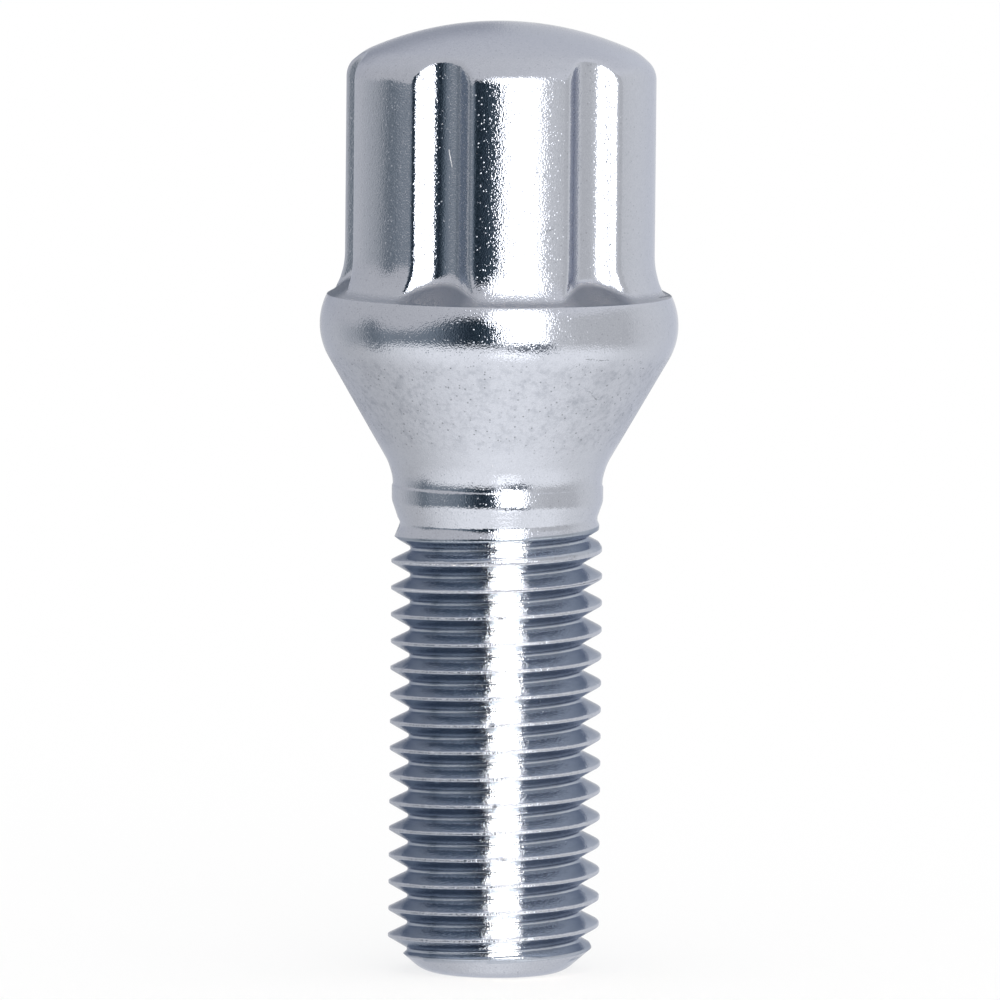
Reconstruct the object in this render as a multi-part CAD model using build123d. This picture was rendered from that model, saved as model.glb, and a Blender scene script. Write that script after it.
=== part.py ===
from build123d import *
from math import asin, atan, ceil, cos, degrees, radians, sin, sqrt, tan
import os

# Wheel bolt, one forged piece, standing on its end face at the origin with its axis along Z.

# Shank, upwards from the end face
SHANK_D = 11.8  # over the thread crests and over the plain shank
SHANK_LENGTH = 28.2  # end face to the corner where the seat starts
CHAMFER_LENGTH = 1.74  # lead-in at the end, along the axis
CHAMFER_ANGLE = 49.0  # from the axis
END_ROUND = 0.5
PLAIN_LENGTH = 1.75  # unthreaded shank below the seat's corner
NECK_DEPTH = 0.4  # relief above the thread, below the shank's surface
NECK_LENGTH = 0.45
NECK_FALL = 0.45  # height over which the thread's crest falls into the neck
NECK_ANGLE = 19.0  # of the widening from neck to plain shank, from the axis
NECK_ROUND = 1.2
THREAD_PITCH = 1.5
THREAD_ANGLE = 60.0  # included, between the flanks
THREAD_TURN = 188.0  # from +X to where the groove has climbed out into the neck

# Conical seat and the collar above it
SEAT_ANGLE = 60.0  # included
SEAT_FILLET = 2.8  # between seat and shank
COLLAR_OVERHANG = 1.33  # from the head's lands to the collar's widest belt
COLLAR_BULGE = 3.7  # radius of the rim's rounded section
COLLAR_RISE = 1.66  # widest belt to top edge
COLLAR_SLOPE = 27.0  # fall of the collar's top face, from level
COLLAR_EDGE = 0.25

# Fluted head
HEAD_D = 17.34  # over the lands
HEAD_HEIGHT = 15.25  # collar's top edge to the crown's peak
CROWN_RADIUS = 18.0
SHOULDER_RADIUS = 2.0
FLARE_REACH = 0.5  # how far the foot of the lands stands out from them
FLARE_ANGLE = 18.0  # of that spreading foot, from the axis
FLARE_ROUND = 1.5
FLARE_SINK = 0.2  # how far the foot runs on into the collar
FLUTE_COUNT = 6
FLUTE_DEPTH = 1.03
FLUTE_ANGLE = 114.0  # included, between the flanks
FLUTE_FLOOR = 1.1  # radius at the bottom of a flute
FLUTE_EDGE = 0.22  # round between flanks and lands
FLUTE_TURN = 7.5  # from +X to the first flute

SHANK_R = SHANK_D / 2
NECK_R = SHANK_R - NECK_DEPTH
PLAIN_Z = SHANK_LENGTH - PLAIN_LENGTH
NECK_Z = PLAIN_Z - NECK_DEPTH / tan(radians(NECK_ANGLE))
HEAD_R = HEAD_D / 2
SEAT_HALF = radians(SEAT_ANGLE / 2)
COLLAR_FALL = tan(radians(COLLAR_SLOPE))

# The rim's arc is tangent to the seat, which sets the height of its widest belt.
RIM_CENTRE_R = HEAD_R + COLLAR_OVERHANG - COLLAR_BULGE
BELT_Z = SHANK_LENGTH + (COLLAR_BULGE + (RIM_CENTRE_R - SHANK_R) * cos(SEAT_HALF)) / sin(SEAT_HALF)
EDGE_R = RIM_CENTRE_R + sqrt(COLLAR_BULGE**2 - COLLAR_RISE**2)
EDGE_Z = BELT_Z + COLLAR_RISE
PEAK_Z = EDGE_Z + HEAD_HEIGHT


def collar_top(radius):
    """Height of the collar's sloped top face, which runs on under the head, at a radius."""
    return EDGE_Z + (EDGE_R - radius) * COLLAR_FALL


def rounded(section, corner, radius):
    """The section with its corner at the given point rounded."""
    return fillet(section.vertices().sort_by_distance(corner)[0], radius)


def turned(section):
    """The solid that a half section makes about the axis."""
    return revolve(Plane.XZ * section, Axis.Z)


def shank_seat_and_collar():
    end_r = SHANK_R - CHAMFER_LENGTH * tan(radians(CHAMFER_ANGLE))
    neck_low = NECK_Z - NECK_LENGTH
    rim_rise = degrees(asin(COLLAR_RISE / COLLAR_BULGE))
    rim = CenterArc((RIM_CENTRE_R, BELT_Z), COLLAR_BULGE, -SEAT_ANGLE / 2, SEAT_ANGLE / 2 + rim_rise)
    outline = Polyline(
        rim @ 1,
        (0, collar_top(0)),
        (0, 0),
        (end_r, 0),
        (SHANK_R, CHAMFER_LENGTH),
        (SHANK_R, neck_low - NECK_FALL),
        (NECK_R, neck_low),
        (NECK_R, NECK_Z),
        (SHANK_R, PLAIN_Z),
        (SHANK_R, SHANK_LENGTH),
        rim @ 0,
    )
    section = make_face([rim, outline])
    section = rounded(section, (end_r, 0), END_ROUND)
    section = rounded(section, (SHANK_R, PLAIN_Z), NECK_ROUND)
    section = rounded(section, (SHANK_R, SHANK_LENGTH), SEAT_FILLET)
    section = rounded(section, rim @ 1, COLLAR_EDGE)
    return turned(section)


def thread_groove():
    """The groove between the crests, turn by turn, with a last turn that climbs out into the neck."""
    half = radians(THREAD_ANGLE / 2)
    crest_width = THREAD_PITCH / 8
    root_width = THREAD_PITCH / 6
    root = SHANK_R - (THREAD_PITCH - crest_width - root_width) / 2 / tan(half)
    mouth_width = THREAD_PITCH - crest_width / 2
    mouth = root + (mouth_width - root_width) / 2 / tan(half)
    section = Plane.XZ * make_face(
        Polyline(
            (root, -root_width / 2),
            (root, root_width / 2),
            (mouth, mouth_width / 2),
            (mouth, -mouth_width / 2),
            close=True,
        )
    )
    full_turn = sweep(section, path=Helix(THREAD_PITCH, THREAD_PITCH, root), is_frenet=True)
    climb = atan((NECK_R - root) / THREAD_PITCH)
    way_out = Helix(THREAD_PITCH / cos(climb), THREAD_PITCH, root, cone_angle=degrees(climb))
    last_turn = sweep(section, path=way_out, is_frenet=True)
    full_turns = ceil(NECK_Z / THREAD_PITCH)
    turns = [last_turn] + [Pos(0, 0, -n * THREAD_PITCH) * full_turn for n in range(1, full_turns + 1)]
    return [Pos(0, 0, NECK_Z - THREAD_PITCH) * Rot(0, 0, THREAD_TURN) * turn for turn in turns]


def plain_head():
    crown_half = degrees(asin(HEAD_R / CROWN_RADIUS))
    crown = CenterArc((0, PEAK_Z - CROWN_RADIUS), CROWN_RADIUS, 90 - crown_half, crown_half)
    foot_r = HEAD_R + FLARE_REACH
    foot_z = collar_top(foot_r)
    spread = tan(radians(FLARE_ANGLE))
    bend = (HEAD_R, foot_z + FLARE_REACH / spread)
    sunk_foot = (foot_r + FLARE_SINK * spread, foot_z - FLARE_SINK)
    outline = Polyline(crown @ 1, (0, foot_z - FLARE_SINK), sunk_foot, bend, crown @ 0)
    section = make_face([crown, outline])
    section = rounded(section, bend, FLARE_ROUND)
    return turned(rounded(section, crown @ 0, SHOULDER_RADIUS))


def flute(turn):
    """A straight V with a round floor, cut the whole height of the head."""
    half = radians(FLUTE_ANGLE / 2)
    tip = HEAD_R - FLUTE_DEPTH - FLUTE_FLOOR * (1 / sin(half) - 1)
    mouth = HEAD_R + COLLAR_OVERHANG
    mouth_half = (mouth - tip) * tan(half)
    section = make_face(Polyline((tip, 0), (mouth, mouth_half), (mouth, -mouth_half), close=True))
    section = rounded(section, (tip, 0), FLUTE_FLOOR)
    return Rot(0, 0, turn) * extrude(Plane.XY.offset(BELT_Z) * section, PEAK_Z - BELT_Z)


def fluted_head():
    blank = plain_head()
    flutes = [flute(FLUTE_TURN + n * 360 / FLUTE_COUNT) for n in range(FLUTE_COUNT)]
    head = blank - flutes
    underside = head.faces().sort_by(Axis.Z)[0].center().Z
    cut_edges = new_edges(blank, *flutes, combined=head)
    return fillet(cut_edges.filter_by(lambda edge: edge.center().Z > underside + FLUTE_EDGE), FLUTE_EDGE)


bolt = shank_seat_and_collar() - thread_groove() + fluted_head()

os.makedirs("parts", exist_ok=True)
export_step(bolt, "parts/wheel_bolt.step")
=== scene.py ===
from math import acos, atan2, cos, degrees, pi, radians, sin, sqrt, tan

import bpy
import numpy as np
from mathutils import Matrix, Vector


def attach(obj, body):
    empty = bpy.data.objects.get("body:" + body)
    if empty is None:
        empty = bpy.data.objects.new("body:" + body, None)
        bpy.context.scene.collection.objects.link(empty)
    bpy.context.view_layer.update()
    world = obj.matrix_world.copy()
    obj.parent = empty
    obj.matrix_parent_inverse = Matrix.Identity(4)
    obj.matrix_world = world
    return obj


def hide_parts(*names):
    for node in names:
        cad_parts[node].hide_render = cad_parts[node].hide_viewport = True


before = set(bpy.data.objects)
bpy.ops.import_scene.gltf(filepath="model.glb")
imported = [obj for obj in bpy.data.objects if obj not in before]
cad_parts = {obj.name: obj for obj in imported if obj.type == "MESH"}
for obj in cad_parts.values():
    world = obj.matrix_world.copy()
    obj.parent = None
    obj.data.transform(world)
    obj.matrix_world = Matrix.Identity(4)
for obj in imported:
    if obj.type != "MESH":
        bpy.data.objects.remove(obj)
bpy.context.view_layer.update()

# The bolt is one piece of steel, cold headed from bar, threaded by rolling and then chromium plated. It is
# built from the crown down, as one skin of rings about its axis. Sizes are in millimetres, and heights
# are up from the end face.
MILLIMETRE = 0.001
points = []
faces = []


def ring(angle, radius, height):
    """A ring of points about the axis; gives the numbers of its points."""
    first = sum(len(group) for group in points)
    spot = np.broadcast_arrays(radius * np.cos(angle), radius * np.sin(angle), height)
    points.append(np.stack(spot, 1))
    return np.arange(first, first + len(angle))


def band(upper, lower):
    """Four-sided faces between two rings with the same number of points."""
    faces.extend(np.stack([lower, np.roll(lower, -1), np.roll(upper, -1), upper], 1).tolist())


def stitch(upper, upper_angle, lower, lower_angle):
    """Triangles between two rings with different numbers of points."""
    high, low = 0, 0
    upper_end = np.append(upper_angle, upper_angle[0] + 2 * pi)
    lower_end = np.append(lower_angle, lower_angle[0] + 2 * pi)
    while high < len(upper) or low < len(lower):
        here = [int(lower[low % len(lower)]), int(upper[high % len(upper)])]
        if low == len(lower) or (high < len(upper) and upper_end[high + 1] < lower_end[low + 1]):
            high += 1
            faces.append([here[0], int(upper[high % len(upper)]), here[1]])
        else:
            low += 1
            faces.append([here[0], int(lower[low % len(lower)]), here[1]])


# Head: pressed up from the bar, with a low crown, a sloped shoulder and six flutes for the key. The feet of
# its lands spread in a hollow on to the sloped top of the collar, so the collar's edge sets its level.
SHANK_R = 5.9
SHANK_LENGTH = 28.2  # end face to the corner between shank and seat
SEAT_HALF = 30.0
RIM_CENTRE_R = 6.3
RIM_BULGE = 3.7
RIM_RISE = 1.66  # widest belt to top edge
COLLAR_SLOPE = radians(27.0)
seat_slope = radians(SEAT_HALF)
BELT_Z = SHANK_LENGTH + (RIM_BULGE + (RIM_CENTRE_R - SHANK_R) * cos(seat_slope)) / sin(seat_slope)
EDGE_R = RIM_CENTRE_R + sqrt(RIM_BULGE**2 - RIM_RISE**2)
EDGE_Z = BELT_Z + RIM_RISE
HEAD_R = 8.67
PEAK_Z = EDGE_Z + 15.25
CROWN_R = 18.0
FOLD_R = 7.6  # where the crown goes over into the sloped shoulder
FOLD_ROUND = 3.0
SHOULDER_Z = 50.65
SHOULDER_ROUND = 1.3
FOOT_REACH = 0.62
FOOT_HOLLOW = 4.0
FLUTES = 6
FLUTE_TURN = radians(7.5)
FLUTE_FLOOR_R = 7.68
FLUTE_ROUND = 1.8
FLUTE_HALF = radians(55.0)
FLUTE_EDGE = 0.27
LAND_FILLET = 0.12  # between collar and lands
FLUTE_FILLET = 1.2  # more of it between collar and flute floors
CROWN_COLUMNS = 96
EVEN_COLUMNS = 160


def arc(centre, radius, start, end, steps):
    """Points on an arc of the turned outline, as radius and height; angles up from level."""
    turn = np.radians(np.linspace(start, end, steps + 1))
    return np.stack([centre[0] + radius * np.cos(turn), centre[1] + radius * np.sin(turn)], 1)


def rounded(before, corner, after, radius, steps):
    """Points on the round that takes the place of a corner between two straight runs."""
    before, corner, after = (np.array(point, float) for point in (before, corner, after))
    back = (before - corner) / np.linalg.norm(before - corner)
    on = (after - corner) / np.linalg.norm(after - corner)
    half = acos(float(back @ on)) / 2
    centre = corner + (back + on) / np.linalg.norm(back + on) * radius / sin(half)
    first = corner + back * radius / tan(half) - centre
    last = corner + on * radius / tan(half) - centre
    start = degrees(atan2(first[1], first[0]))
    swing = (degrees(atan2(last[1], last[0])) - start + 180) % 360 - 180
    return arc(centre, radius, start, start + swing, steps)


def run(start, end, shares=(0.03, 0.15, 0.4, 0.6, 0.85, 0.97)):
    """Points along a straight run between two of the outline's points, without its ends."""
    return start + (end - start) * np.array(shares)[:, None]


def softer_of(first, second, width):
    """The smaller of two radii, with the corner between them rounded off."""
    near = np.maximum(width - np.abs(first - second), 0) / width
    return np.minimum(first, second) - near**2 * width / 4


def collar_top(radius):
    """Height of the collar's sloped top face, which runs on under the head, at a radius."""
    return EDGE_Z + (EDGE_R - radius) * tan(COLLAR_SLOPE)


def flute_radius(angle):
    """Distance of a flute's wall from the axis: a wide V with a round floor."""
    off = np.abs((angle - FLUTE_TURN + pi / FLUTES) % (2 * pi / FLUTES) - pi / FLUTES)
    tip = FLUTE_FLOOR_R - FLUTE_ROUND * (1 / sin(FLUTE_HALF) - 1)
    centre = tip + FLUTE_ROUND / sin(FLUTE_HALF)
    floor_end = atan2(FLUTE_ROUND * cos(FLUTE_HALF), centre - FLUTE_ROUND * sin(FLUTE_HALF))
    flank = tip / (np.cos(off) - np.sin(off) / tan(FLUTE_HALF))
    floor = centre * np.cos(off) - np.sqrt(np.maximum(FLUTE_ROUND**2 - (centre * np.sin(off)) ** 2, 0))
    return np.where(off < floor_end, floor, flank)


# Columns lie close together over the flutes' edges, and evenly on the crown and below the head.
half_sector = np.radians(
    np.concatenate(
        [
            np.linspace(0, 4.4, 9),
            np.linspace(5.0, 10.0, 9),
            [10.35, 10.6, 10.85, 11.1, 11.35, 11.6, 11.9],
            [12.3, 12.9, 13.8, 15.2, 17.2, 19.7, 22.3, 24.9, 27.5, 30.0],
        ]
    )
)
sector = np.concatenate([-half_sector[-2:0:-1], half_sector])
head_angle = np.concatenate([FLUTE_TURN + n * 2 * pi / FLUTES + sector for n in range(FLUTES)])
crown_angle = np.linspace(0, 2 * pi, CROWN_COLUMNS, endpoint=False) + head_angle[0]
even_angle = np.linspace(0, 2 * pi, EVEN_COLUMNS, endpoint=False)

crown_z = PEAK_Z - CROWN_R
fold = (FOLD_R, crown_z + sqrt(CROWN_R**2 - FOLD_R**2))
fold_turn = degrees(atan2(fold[1] - crown_z, FOLD_R))
before_fold = arc((0, crown_z), CROWN_R, fold_turn + 2, fold_turn + 2, 0)[0]
fold_round = rounded(before_fold, fold, (HEAD_R, SHOULDER_Z), FOLD_ROUND, 12)
crown_end = degrees(atan2(fold_round[0, 1] - crown_z, fold_round[0, 0]))
crown = arc((0, crown_z), CROWN_R, 90, crown_end, 18)
shoulder = rounded(fold, (HEAD_R, SHOULDER_Z), (HEAD_R, EDGE_Z), SHOULDER_ROUND, 12)
foot_turn = degrees(acos(1 - FOOT_REACH / FOOT_HOLLOW))
foot_top = collar_top(HEAD_R + FOOT_REACH) + FOOT_HOLLOW * sin(radians(foot_turn))
hollow = arc((HEAD_R + FOOT_HOLLOW, foot_top), FOOT_HOLLOW, 180, 180 + foot_turn, 16)
foot_r = hollow[-1, 0]
wall = np.concatenate(
    [
        fold_round,
        run(fold_round[-1], shoulder[0], np.linspace(0.08, 0.92, 9)),
        shoulder,
        run(shoulder[-1], hollow[0]),
        hollow,
    ]
)
flute_wall = flute_radius(head_angle)

peak = ring(np.zeros(1), 0.0, PEAK_Z)
above = None
for radius, height in crown[1:-3]:
    row = ring(crown_angle, radius, height)
    if above is None:
        faces.extend([int(a), int(b), int(peak[0])] for a, b in zip(row, np.roll(row, -1)))
    else:
        band(above, row)
    above = row

# Rows lie close together where the flutes run out on the collar.
low_z = np.concatenate(
    [np.linspace(foot_top + 0.3, EDGE_Z + 1.4, 8), EDGE_Z + np.linspace(1.3, 0.131, 21)]
)
low_r = np.interp(low_z, wall[::-1, 1], wall[::-1, 0])
upper_rows = np.concatenate([crown[-3:-1], wall[wall[:, 1] > low_z[0] + 0.05]])
head_rows = np.concatenate([upper_rows, np.stack([low_r, low_z], 1)])
foot_fillet = LAND_FILLET + FLUTE_FILLET * np.clip(foot_r - flute_wall, 0, 1)
for index, (radius, height) in enumerate(head_rows):
    row_r = softer_of(radius, flute_wall, FLUTE_EDGE)
    if height <= low_z[0]:
        collar_r = EDGE_R - (height - EDGE_Z) / tan(COLLAR_SLOPE)
        row_r = -softer_of(-row_r, -collar_r, foot_fillet)
    row = ring(head_angle, row_r, height)
    if index == 0:
        stitch(above, crown_angle, row, head_angle)
    else:
        band(above, row)
    above = row

# Collar, seat and plain shank: turned forms of the same piece. The collar's rim is round, the conical seat
# centres the bolt in the wheel, and the plain shank narrows to a neck over the thread.
EDGE_ROUND = 0.25
SEAT_FILLET = 2.8
PLAIN_Z = 26.45
STEP_Z = 27.25  # foot of a low step on the plain shank
STEP_DEPTH = 0.05
STEP_RISE = 0.12
STEP_FADE = 0.7
NECK_R = 5.5
NECK_ANGLE = radians(19.0)
NECK_ROUND = 1.2
NECK_Z = PLAIN_Z - (SHANK_R - NECK_R) / tan(NECK_ANGLE)
NECK_UNDERCUT = 0.12
THREAD_TOP = 25.62
neck_low = NECK_R - NECK_UNDERCUT
neck_corner = NECK_Z - NECK_UNDERCUT / tan(NECK_ANGLE)
neck_outline = np.array([(neck_low, 0.0), (neck_low, neck_corner), (SHANK_R, PLAIN_Z)])

into = np.array([-sin(COLLAR_SLOPE), -cos(COLLAR_SLOPE)])
along = np.array([cos(COLLAR_SLOPE), -sin(COLLAR_SLOPE)])
inside = np.array([EDGE_R, EDGE_Z]) + EDGE_ROUND * into - (RIM_CENTRE_R, BELT_Z)
lean = float(inside @ along)
slide = -lean + sqrt(lean**2 - float(inside @ inside) + (RIM_BULGE - EDGE_ROUND) ** 2)
edge_centre = inside + slide * along
edge_turn = degrees(atan2(edge_centre[1], edge_centre[0]))
edge_start = 90 - degrees(COLLAR_SLOPE)
edge = arc(edge_centre + (RIM_CENTRE_R, BELT_Z), EDGE_ROUND, edge_start, edge_turn, 6)
rim = arc((RIM_CENTRE_R, BELT_Z), RIM_BULGE, edge_turn, -SEAT_HALF, 30)
seat_root = rounded(rim[-1], (SHANK_R, SHANK_LENGTH), (SHANK_R, PLAIN_Z), SEAT_FILLET, 12)
neck_top = rounded((SHANK_R, SHANK_LENGTH), (SHANK_R, PLAIN_Z), (NECK_R, NECK_Z), NECK_ROUND, 6)
thread_top = np.array([np.interp(THREAD_TOP, neck_outline[:, 1], neck_outline[:, 0]), THREAD_TOP])
lower_rows = np.concatenate(
    [
        edge,
        rim[1:],
        run(rim[-1], seat_root[0]),
        seat_root,
        run(seat_root[-1], neck_top[0], np.linspace(0.04, 0.96, 16)),
        neck_top,
        run(neck_top[-1], thread_top, (0.2, 0.6)),
    ]
)
for index, (radius, height) in enumerate(lower_rows):
    step = np.clip((height - STEP_Z) / STEP_RISE, 0, 1) * np.clip((SHANK_LENGTH - height) / STEP_FADE, 0, 1)
    row = ring(even_angle, np.full(len(even_angle), radius - STEP_DEPTH * step), height)
    if index == 0:
        stitch(above, head_angle, row, even_angle)
    else:
        band(above, row)
    above = row

# Thread: rolled into the shank, so its crests carry a fine seam and fall away over the last turns, where the
# groove climbs out into the neck. Its rows climb with it, held between the neck and the lead-in chamfer.
PITCH = 1.5
UPPER_FLANK = radians(26.5)
UNDER_FLANK = radians(30.0)
CREST_HALF = 0.085
CREST_SOFT = 0.08
ROOT_ROUND = 0.15
THREAD_TURN = radians(188.0)
THREAD_LOW = 0.75
CREST_TURNS = [-1.0, -0.3, 0.0, 0.5, 1.0]  # before and after the turn where the groove starts to climb
CREST_RADII = [SHANK_R, 5.86, 5.72, 5.7, NECK_R]
CREST_END_Z = NECK_Z - 0.45
GROOVE_CLIMB = 0.62
LIP_START = 0.62  # over the middle of the groove
LIP_FALL = 0.42
LIP_SOFT = 0.1
SEAM_DEPTH = 0.015
SEAM_WIDTH = 0.035
END_R = 3.898
CHAMFER_LENGTH = 1.74
CHAMFER_SPREAD = (SHANK_R - END_R) / CHAMFER_LENGTH
CHAMFER_SOFT = 0.06
GROOVE_ROWS = np.array(
    [
        *(-0.71, -0.685, -0.655, -0.62, -0.42, -0.27, -0.183, -0.12, -0.045),
        *(0.03, 0.086, 0.2, 0.4, 0.62, 0.655, 0.685, 0.71, 0.75),
    ]
)


def thread_radius(angle, height):
    """Radius over the rolled thread, and the height over the middle of the nearest groove."""
    share = ((angle - THREAD_TURN) / (2 * pi)) % 1
    last = NECK_Z - PITCH + PITCH * share
    turns = np.minimum(np.floor((height - last) / PITCH), 0)
    top = np.interp(share + turns, CREST_TURNS, CREST_RADII)
    fading = np.clip((share + turns + 0.6) / 0.6, 0, 1)
    lip = top - LIP_FALL * fading * np.maximum(height - last - PITCH * turns - LIP_START, 0)
    plain = -softer_of(-np.interp(height, neck_outline[:, 1], neck_outline[:, 0]), -lip, LIP_SOFT)
    plain = softer_of(plain, END_R + height * CHAMFER_SPREAD, CHAMFER_SOFT)
    turns = np.minimum(np.round((height - last) / PITCH), 0)
    way = share + turns
    off = height - last - PITCH * turns
    depth = (PITCH - 2 * CREST_HALF) / (tan(UPPER_FLANK) + tan(UNDER_FLANK))
    tip = SHANK_R - depth
    from_tip = off + PITCH / 2 - CREST_HALF - depth * tan(UPPER_FLANK)
    flank = tip + np.where(from_tip < 0, -from_tip / tan(UPPER_FLANK), from_tip / tan(UNDER_FLANK))
    tilt = (UNDER_FLANK - UPPER_FLANK) / 2
    reach = ROOT_ROUND / sin((UNDER_FLANK + UPPER_FLANK) / 2)
    from_root = from_tip - reach * sin(tilt)
    floor = tip + reach * cos(tilt) - np.sqrt(np.maximum(ROOT_ROUND**2 - from_root**2, 0))
    in_round = (from_root > -ROOT_ROUND * cos(UPPER_FLANK)) & (from_root < ROOT_ROUND * cos(UNDER_FLANK))
    groove = np.where(in_round, floor, flank) + GROOVE_CLIMB * np.maximum(way, 0)
    seam = SEAM_DEPTH * np.exp(-(((np.abs(off) - PITCH / 2) / SEAM_WIDTH) ** 2))
    seam = seam * np.clip((-0.6 - way) / 0.4, 0, 1) * np.clip((height - 1.8) / 0.3, 0, 1)
    return softer_of(plain, groove, CREST_SOFT) - seam, off


middle = NECK_Z - PITCH * ((THREAD_TURN / (2 * pi)) % 1)
lowest = int(np.floor((THREAD_LOW - middle) / PITCH)) - 2
highest = int(np.ceil((THREAD_TOP - middle) / PITCH)) + 1
row_start = np.concatenate([middle + n * PITCH + GROOVE_ROWS for n in range(lowest, highest)])
thread_z = np.clip(row_start[:, None] + PITCH * even_angle / (2 * pi), THREAD_LOW, THREAD_TOP)
thread_r, _ = thread_radius(np.broadcast_to(even_angle, thread_z.shape), thread_z)
grid = np.stack([thread_r * np.cos(even_angle), thread_r * np.sin(even_angle), thread_z], 2).reshape(-1, 3)
_, kept, numbers = np.unique(np.round(grid, 6), axis=0, return_index=True, return_inverse=True)
thread_first = sum(len(group) for group in points)
points.append(grid[kept])
numbers = numbers.reshape(thread_z.shape) + thread_first
turn_rows = len(GROOVE_ROWS)
closing = np.concatenate([numbers[turn_rows:, :1], np.repeat(numbers[-1:, :1], turn_rows, 0)])
wrapped = np.concatenate([numbers, closing], 1)
corners = [wrapped[:-1, :-1], wrapped[:-1, 1:], wrapped[1:, 1:], wrapped[1:, :-1]]
for quad in np.stack(corners, 2).reshape(-1, 4).tolist():
    apart = list(dict.fromkeys(quad))
    if len(apart) > 2:
        faces.append(apart)
band(above, numbers[-1])

# Lead-in chamfer and end: turned on the bar before rolling, with a round on to the flat end face that the
# bolt stands on.
END_ROUND = 1.9
END_RING_R = 2.0
end_round = rounded((SHANK_R, CHAMFER_LENGTH), (END_R, 0), (0, 0), END_ROUND, 10)
chamfer_start = np.array([END_R + THREAD_LOW * CHAMFER_SPREAD, THREAD_LOW])
above = numbers[0]
for radius, height in np.concatenate(
    [run(chamfer_start, end_round[0], (0.5,)), end_round, [(END_RING_R, 0.0)]]
):
    row = ring(even_angle, np.full(len(even_angle), radius), height)
    band(above, row)
    above = row
end = ring(np.zeros(1), 0.0, 0.0)
faces.extend([int(b), int(a), int(end[0])] for a, b in zip(above, np.roll(above, -1)))
skin = np.concatenate(points)

# Knocks: small dents on the thread's crests from the rolling and from loose handling, pressed into the
# finished skin. The flanks mirror one another several times, so their normals are worked out, not averaged.
KNOCKS = 220
KNOCK_HEIGHT = 0.18
KNOCK_ROOT_R = 5.3  # the dents fade out towards the groove
luck = np.random.default_rng(7)
knocks = []
for _ in range(KNOCKS):
    angle, turn = luck.uniform(0, 2 * pi), luck.integers(1, 17)
    height = middle + PITCH * (angle / (2 * pi) - turn + 0.5) + luck.normal(0, 0.05)
    knocks.append((angle, height, luck.uniform(0.06, 0.25), luck.uniform(0.01, 0.05)))


def knocked_radius(angle, height):
    radius, _ = thread_radius(angle, height)
    pressed = np.zeros(len(radius))
    for knock_angle, knock_height, size, depth in knocks:
        along_crest = ((angle - knock_angle + pi) % (2 * pi) - pi) * SHANK_R
        far = (along_crest / size) ** 2 + ((height - knock_height) / KNOCK_HEIGHT) ** 2
        pressed += depth * np.exp(-far)
    on_crest = np.clip((radius - KNOCK_ROOT_R) / 0.3, 0, 1)
    return radius - pressed * on_crest * np.clip((NECK_Z - 1 - height) / 0.5, 0, 1)


on_thread = np.zeros(len(skin), bool)
on_thread[thread_first : thread_first + len(kept)] = True
around = np.arctan2(skin[:, 1], skin[:, 0])
angle, height = around[on_thread], skin[on_thread, 2]
radius = knocked_radius(angle, height)
skin[on_thread] = np.stack([radius * np.cos(angle), radius * np.sin(angle), height], 1)
turn_slope = (knocked_radius(angle + 2e-4, height) - knocked_radius(angle - 2e-4, height)) / 4e-4 / radius
rise_slope = (knocked_radius(angle, height + 1e-3) - knocked_radius(angle, height - 1e-3)) / 2e-3
normals = np.zeros((len(skin), 3))
normals[on_thread] = np.stack(
    [
        np.cos(angle) + turn_slope * np.sin(angle),
        np.sin(angle) - turn_slope * np.cos(angle),
        -rise_slope,
    ],
    1,
)
normals[on_thread] /= np.linalg.norm(normals[on_thread], axis=1)[:, None]
at_ends = on_thread & ((skin[:, 2] < THREAD_LOW + 1e-4) | (skin[:, 2] > THREAD_TOP - 1e-4))
normals[at_ends] = 0

bolt_mesh = bpy.data.meshes.new("bolt")
bolt_mesh.from_pydata((skin * MILLIMETRE).tolist(), [], faces)
bolt_mesh.polygons.foreach_set("use_smooth", [True] * len(bolt_mesh.polygons))
bolt_mesh.normals_split_custom_set_from_vertices(normals.tolist())
bolt = bpy.data.objects.new("bolt", bolt_mesh)
bpy.context.collection.objects.link(bolt)

# Parts of the skin that the plating takes differently: the thread's flanks and its rough crests. Two more
# layers are painted shade: the thread's under flanks, and the corner where the head stands on the collar,
# which is also made rough and not metallic.
_, groove_off = thread_radius(around, skin[:, 2])
threaded = (skin[:, 2] > 1.0) & (skin[:, 2] < CREST_END_Z + 0.3)
# Painted shade: the thread's under flanks, which face down, are given a darker colour below.
under = np.clip((groove_off - 0.25) / 0.08, 0, 1) * np.clip((0.68 - groove_off) / 0.04, 0, 1) * threaded
below_lip = np.clip((24.85 - skin[:, 2]) / 0.15, 0, 1)
crest = np.clip((np.abs(groove_off) - 0.63) / 0.05, 0, 1) * threaded * below_lip
flank = np.clip((0.66 - np.abs(groove_off)) / 0.06, 0, 1) * threaded
from_axis = np.hypot(skin[:, 0], skin[:, 1])
# Painted shade: the corner where the head stands on the collar is darkened, most at the flutes' feet; the
# material also makes it rough and not metallic there.
in_flute = np.clip((foot_r + 0.1 - flute_radius(around)) / 1.1, 0, 1)
corner_shade_height = 0.2 + 0.14 * in_flute
painted_corner_shade = np.clip((collar_top(from_axis) + corner_shade_height - skin[:, 2]) / 0.2, 0, 1) * (skin[:, 2] > EDGE_Z - 0.02)
painted_corner_shade = painted_corner_shade * (0.55 + 0.45 * in_flute)
for name, value in (("flank", flank), ("shaded_under_flank", under), ("crest", crest), ("collar_top", painted_corner_shade)):
    layer = bolt_mesh.attributes.new(name, "FLOAT", "POINT")
    layer.data.foreach_set("value", value.astype(np.float32))


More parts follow.
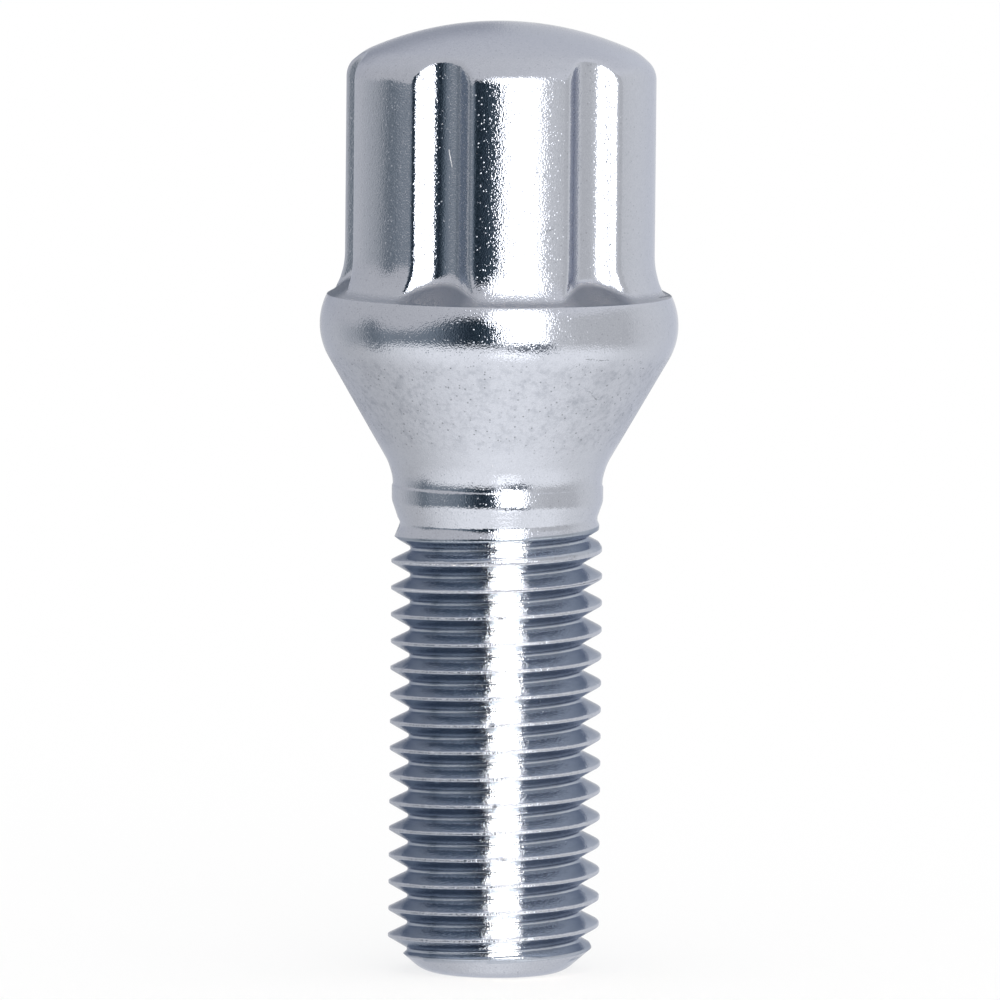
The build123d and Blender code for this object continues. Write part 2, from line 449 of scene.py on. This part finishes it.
class Socket:
    """A socket in a node tree. Sums of such sockets add the nodes that work them out."""

    def __init__(self, tree, socket=None):
        self.tree = tree
        self.socket = socket

    def node(self, kind, inputs, output=0, stops=None, **settings):
        """A new node: its type, its inputs, the output that is used, a ramp's stops and its settings."""
        made = self.tree.nodes.new("ShaderNode" + kind)
        for name, value in settings.items():
            setattr(made, name, value)
        if stops:
            elements = made.color_ramp.elements
            while len(elements) < len(stops):
                elements.new(0.5)
            for element, (place, colour) in zip(elements, stops):
                element.position = place
                element.color = (*colour, 1)
        for name, value in inputs.items():
            if isinstance(value, Socket):
                self.tree.links.new(made.inputs[name], value.socket)
            else:
                made.inputs[name].default_value = value
        return Socket(self.tree, made.outputs[output] if made.outputs else None)

    def also(self, output):
        """Another output of the same node."""
        return Socket(self.tree, self.socket.node.outputs[output])

    def sum(self, operation, first, second=0.0):
        return self.node("Math", {0: first, 1: second}, operation=operation)

    def __add__(self, other):
        return self.sum("ADD", self, other)

    def __sub__(self, other):
        return self.sum("SUBTRACT", self, other)

    def __rsub__(self, other):
        return self.sum("SUBTRACT", other, self)

    def __mul__(self, other):
        return self.sum("MULTIPLY", self, other)

    def __truediv__(self, other):
        return self.sum("DIVIDE", self, other)

    def __rtruediv__(self, other):
        return self.sum("DIVIDE", other, self)

    __radd__ = __add__
    __rmul__ = __mul__

    def rises(self, low, high):
        """0 below low, 1 above high, with a soft step between."""
        ends = {"Value": self, "From Min": low, "From Max": high}
        return self.node("MapRange", ends, interpolation_type="SMOOTHSTEP")

    def mixed(self, share, other):
        """This colour with a share of another."""
        return self.node("Mix", {0: share, 6: self, 7: other}, output=2, data_type="RGBA")


# Bright chromium plate over the whole bolt. It shows the fine pebbling of the forged skin below it, pits and
# scratches, a duller rubbed seat, bright crests and settled dust. Painted shade darkens the thread's under
# flanks and the corner at the head's foot, most at the flutes' feet.
CHROME = (0.53, 0.55, 0.605, 1)
FLANK_CHROME = (0.43, 0.465, 0.525, 1)
# The next colour is painted shade on the thread's under flanks.
UNDER_SHADE_CHROME = (0.29, 0.33, 0.39, 1)
STAIN = (0.2, 0.22, 0.26, 1)
# The next colour is painted shade in the corner where the head stands on the collar.
CORNER_SHADE = (0.115, 0.135, 0.178, 1)
DARK_MARK = (0.06, 0.07, 0.08, 1)
BRIGHT_MARK = (0.95, 0.95, 0.97, 1)
DUST = (0.8, 0.8, 0.8, 1)
FORGED_EDGE = (0.72, 0.74, 0.8, 1)  # tint of the plate seen at a low angle
ROLLED_EDGE = (0.48, 0.51, 0.58, 1)
PEBBLE_HEIGHT = 4.0  # these four in thousandths of a millimetre
GRAIN_HEIGHT = 8.0
BEAD_HEIGHT = 11.0
CREST_HEIGHT = 18.0
MICROMETRE = 1e-6
DEGREES_A_MILLIMETRE = 6.5  # round the head and the collar
plate = bpy.data.materials.new("chrome_plate")
plate.use_nodes = True
plate.node_tree.nodes.clear()
blank = Socket(plate.node_tree)
place = blank.node("TexCoord", {}, output="Object")
sideways = blank.node("SeparateXYZ", {0: place})
forward = sideways.also(1)
up = sideways.also(2) * (1 / MILLIMETRE)
from_front = blank.sum("ARCTAN2", sideways, forward * -1) * (180 / pi)
# Two of these layers carry painted shade: the thread's under flanks and the corner at the head's foot.
flanks, shaded_under_flank, crest_band, corner = (
    blank.node("Attribute", {}, output=2, attribute_name=name)
    for name in ("flank", "shaded_under_flank", "crest", "collar_top")
)
pebbles = blank.node("TexNoise", {"Vector": place, "Scale": 6000, "Detail": 0.0})
grain = blank.node("TexNoise", {"Vector": place, "Scale": 13000, "Detail": 0.0})
stains = blank.node("TexNoise", {"Vector": place, "Scale": 800, "Detail": 3, "Roughness": 0.65})
patches = blank.node("TexNoise", {"Vector": place, "Scale": 330, "Detail": 1})
mottle = blank.node("TexNoise", {"Vector": place, "Scale": 2600, "Detail": 2, "Roughness": 0.7})
bead_off = blank.node("TexVoronoi", {"Vector": place, "Scale": 6500})
bead_pick = blank.node("SeparateColor", {0: bead_off.also("Color")})
beads = (1 - bead_off.rises(0.0, 0.4)) * bead_pick.rises(0.2, 1.1) * (1 - flanks * 0.6)
speck_off = blank.node("TexVoronoi", {"Vector": place, "Scale": 1500})
speck_pick = blank.node("SeparateColor", {0: speck_off.also("Color")})
pits = (1 - speck_off.rises(0.03, 0.09)) * (1 - speck_pick.rises(0.02, 0.04))
dust = (1 - speck_off.rises(0.02, 0.06)) * speck_pick.rises(0.965, 0.975)
seat = up.rises(29.2, 30.5) * (1 - up.rises(34.2, 35.2))
neck = up.rises(25.8, 26.3) * (1 - up.rises(28.2, 29.2))
spotting = (1 - bead_off.rises(0.2, 0.45)) * (1 - bead_pick.rises(0.07, 0.1)) * (0.3 + seat * 0.7)


def scratch(start, end, width, wobble):
    """A scratch between two spots, each the angle round from the front and the height in millimetres."""
    span = (end[0] - start[0]) / DEGREES_A_MILLIMETRE, end[1] - start[1]
    length = sqrt(span[0] ** 2 + span[1] ** 2)
    over, lift = (from_front - start[0]) / DEGREES_A_MILLIMETRE, up - start[1]
    along = (over * span[0] + lift * span[1]) / length
    aside = (over * span[1] - lift * span[0]) / length + (stains - 0.5) * wobble
    ends = along.rises(-0.02, 0.06) * (1 - along.rises(length - 0.06, length + 0.02))
    return ends * (1 - blank.sum("ABSOLUTE", aside).rises(width * 0.4, width))


dark_scratches = (
    scratch((29.3, 35.05), (38.8, 34.9), 0.05, 0.5)
    + scratch((34.0, 33.25), (40.0, 32.6), 0.05, 0.7)
    + scratch((12.5, 41.8), (20.0, 42.3), 0.045, 0.8)
)
bright_scratch = scratch((-21.9, 46.5), (-20.2, 45.5), 0.045, 0.1)
relief = pebbles * PEBBLE_HEIGHT + grain * GRAIN_HEIGHT + beads * BEAD_HEIGHT
relief = relief + crest_band * grain * CREST_HEIGHT
bump = blank.node("Bump", {"Height": relief, "Strength": 1.0, "Distance": MICROMETRE})
chrome = blank.node("Mix", {0: flanks, 6: CHROME, 7: FLANK_CHROME}, output=2, data_type="RGBA")
# Painted shade: the thread's under flanks are darkened.
chrome = chrome.mixed(shaded_under_flank * 0.6, UNDER_SHADE_CHROME)
shade = seat * stains.rises(0.48, 0.75) * 0.24 + grain.rises(0.3, 0.7) * 0.1
shade = shade + mottle.rises(0.42, 0.75) * (0.06 + seat * 0.22)
torn = dark_scratches * grain.rises(0.3, 0.6) * 0.5
dark_marks = blank.sum("MAXIMUM", blank.sum("MAXIMUM", pits * 0.8, spotting * 0.6), torn)
# Painted shade: the corner at the head's foot is darkened here, and below it is made rough and not metallic.
colour = chrome.mixed(shade, STAIN).mixed(corner * 0.95, CORNER_SHADE).mixed(dark_marks, DARK_MARK)
colour = colour.mixed(bright_scratch, BRIGHT_MARK).mixed(dust, DUST)
roughness = 0.05 + patches.rises(0.45, 0.75) * 0.04 + seat * (0.13 + 0.08 * patches)
roughness = roughness + corner * 0.5 + neck * 0.04 + pits * 0.3 + dust * 0.4 + bright_scratch * 0.6
finish = {
    "Base Color": colour,
    "Metallic": 1 - dust - corner * 0.95,
    "Roughness": roughness,
    "Normal": bump,
    "Specular IOR Level": 0.15,
}
forged = blank.node("BsdfPrincipled", {**finish, "Specular Tint": FORGED_EDGE})
rolled = blank.node("BsdfPrincipled", {**finish, "Specular Tint": ROLLED_EDGE})
blank.node("OutputMaterial", {"Surface": blank.node("MixShader", {0: flanks, 1: forged, 2: rolled})})
bolt_mesh.materials.append(plate)
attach(bolt, "root")
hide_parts("wheel_bolt")

# Photographer's table: a broad white sheet that the bolt stands on. It keeps the bolt's soft shadow
# and goes over into the white of the room.
TABLE_HALF = 6
TABLE_CORNERS = [(-TABLE_HALF, -TABLE_HALF, 0), (TABLE_HALF, -TABLE_HALF, 0),
                 (TABLE_HALF, TABLE_HALF, 0), (-TABLE_HALF, TABLE_HALF, 0)]
PAPER = (0.97, 0.97, 0.97, 1)
WHITE = (1, 1, 1, 1)
floor_mesh = bpy.data.meshes.new("table")
floor_mesh.from_pydata(TABLE_CORNERS, [], [(0, 1, 2, 3)])
floor = bpy.data.objects.new("table", floor_mesh)
bpy.context.collection.objects.link(floor)
paper = bpy.data.materials.new("white_paper")
paper.use_nodes = True
paper.node_tree.nodes.clear()
sheet = Socket(paper.node_tree)
lit = sheet.node("BsdfDiffuse", {"Color": PAPER})
glow = sheet.node("Emission", {"Color": WHITE, "Strength": 1.0})
seen = sheet.node("LightPath", {}, output="Is Camera Ray") * 0.7
sheet.node("OutputMaterial", {"Surface": sheet.node("MixShader", {0: seen, 1: lit, 2: glow})})
floor_mesh.materials.append(paper)
floor.visible_glossy = False

# Room: white walls all round, a tall soft window in front and to the right, and the dark of the room beside
# it on the left. Only what the polished plate mirrors is shaped; the rest is plain white. Bearings are in
# degrees to the right of the camera, and lifts in degrees over the horizon.
DARK_SILL = (0.1, 0.13, 0.17, 1)
WHITE_APRON = (2, 2, 2, 1)
DARK_DOORWAY = (0.25, 0.28, 0.33, 1)
GROOVE_SKY = (0.5, 0.58, 0.63, 1)  # what the thread's grooves show after several mirrorings
WINDOW_LEVEL = 2.6
WINDOW_TWICE = 3  # added when mirrored twice, and more in the grooves
WINDOW_GROOVES = (40, 31, 20)
room = bpy.data.worlds.new("room")
room.use_nodes = True
room.node_tree.nodes.clear()
bpy.context.scene.world = room
air = Socket(room.node_tree)
look = air.node("TexCoord", {}, output="Generated")
right = air.node("SeparateXYZ", {0: look})
back = right.also(1)
rise = right.also(2)
bearing = air.sum("ARCTAN2", right, back * -1) * (180 / pi)
lift = air.sum("ARCSINE", rise) * (180 / pi)
seen_straight = air.node("LightPath", {}, output="Is Camera Ray")
scattered = seen_straight.also("Is Diffuse Ray")
bounces = seen_straight.also("Ray Depth")
deep = bounces.rises(2.5, 3.5)


def tone(grey, blue=0.0):
    return (grey * (1 - blue), grey, grey * (1 + blue))


WALLS = [
    (-180, tone(0.86)), (-172, tone(0.82)), (-166, tone(0.84)), (-150, tone(0.86)), (-130, tone(0.81)),
    (-115, tone(0.63, 0.03)), (-105, tone(0.52, 0.04)), (-99, tone(0.46, 0.06)), (-91, tone(0.22, 0.16)),
    (-80, tone(0.35, 0.12)), (-65, tone(0.34, 0.12)), (-50, tone(0.32, 0.14)), (-40, tone(0.28, 0.16)),
    (-35, tone(0.18, 0.2)), (-25, tone(0.08, 0.3)), (-15, tone(0.022, 0.5)), (-8, tone(0.1, 0.3)),
    (0, tone(0.14, 0.25)), (10, tone(1.0)), (37, tone(1.0)), (42, tone(0.91)), (48, tone(0.86)),
    (55, tone(0.8)), (95, tone(0.78)), (98, tone(0.9)), (120, tone(1.0)), (155, tone(1.06)),
    (166, tone(1.04)), (172, tone(0.94)), (180, tone(0.86)),
]
wall_stops = [(angle / 360 + 0.5, grey) for angle, grey in WALLS]
walls = air.node("ValToRGB", {0: bearing / 360 + 0.5}, stops=wall_stops)
overhead = 0.88 + right * 0.16
ceiling = air.node("CombineColor", {0: overhead, 1: overhead, 2: overhead * 1.02})
ground = air.sum("MINIMUM", 1.04 - back * 0.62 + right * 0.12, 1.32)
off_middle = air.sum("ABSOLUTE", right).rises(0.0, 0.4)
ground = air.sum("MAXIMUM", ground, 1.0 + right * 0.18 - off_middle * 0.09)
ground = ground + (rise * -1).rises(0.85, 0.98) * 0.13
table_top = air.node("CombineColor", {0: ground, 1: ground, 2: ground})
frame_side = bearing.rises(-102, -95) * (1 - bearing.rises(-90, -80))
dark_top = bearing.rises(-62, -22) * 28 + frame_side * 10
dark_foot = -17 - bearing.rises(-60, -30) * 2 - frame_side * 6
shaped = table_top.mixed((lift - dark_foot).rises(-7, 4), walls)
shaped = shaped.mixed((lift - dark_top).rises(-5, 7), ceiling)
sill = bearing.rises(3, 14) * (1 - bearing.rises(32, 38))
sill = sill * lift.rises(-30, -26) * (1 - lift.rises(-14, -11)) * (1 - deep)
apron = bearing.rises(-6, -1) * (1 - bearing.rises(22, 28))
apron = apron * lift.rises(-44, -38) * (1 - lift.rises(-31, -27)) * (1 - deep)
doorway = (1 - bearing.rises(-166, -148)) * lift.rises(-1, 9) * (1 - lift.rises(18, 36))
shaped = shaped.mixed(sill * 0.9, DARK_SILL).mixed(apron, WHITE_APRON).mixed(doorway * 0.5, DARK_DOORWAY)
shaped = shaped.mixed(deep * lift.rises(-8, 2) * (1 - bearing.rises(-30, 0)), GROOVE_SKY)
shaped = air.node("VectorMath", {0: shaped, "Scale": 1 + deep * 0.46}, operation="SCALE")
wider = lift.rises(8, 26)
from_left = (bearing + 7 * wider + 7 * deep).rises(0.9, 2.1)
to_right = 1 - (bearing - 4 * wider - 3 * deep).rises(27, 31)
window = from_left * to_right * lift.rises(-16, -12) * (1 - lift.rises(34, 52))
bright = WINDOW_LEVEL + bounces.rises(1.5, 2.5) * WINDOW_TWICE
panes = {channel: bright + deep * level for channel, level in enumerate(WINDOW_GROOVES)}
mirrored = shaped.mixed(window, air.node("CombineColor", panes))
background = mirrored.mixed(air.sum("MAXIMUM", seen_straight, scattered), WHITE)
air.node("OutputWorld", {"Surface": air.node("Background", {"Color": background, "Strength": 1.0})})

# Camera: level with the head and a little above it, through a long lens, turned very slightly about its
# own line of sight.
LENS = 564
DISTANCE = 0.874
TILT = radians(5.107)
ROLL = radians(0.546)
TARGET = Vector((0.000145, 0, 0.026452))
lens = bpy.data.cameras.new("camera")
lens.lens = LENS
lens.clip_start = 0.01
lens.clip_end = 100
camera = bpy.data.objects.new("camera", lens)
bpy.context.collection.objects.link(camera)
camera.location = TARGET + DISTANCE * Vector((0, -cos(TILT), sin(TILT)))
camera.rotation_euler = (Matrix.Rotation(pi / 2 - TILT, 3, "X") @ Matrix.Rotation(ROLL, 3, "Z")).to_euler()
bpy.context.scene.camera = camera
bpy.context.scene.view_settings.view_transform = "Standard"
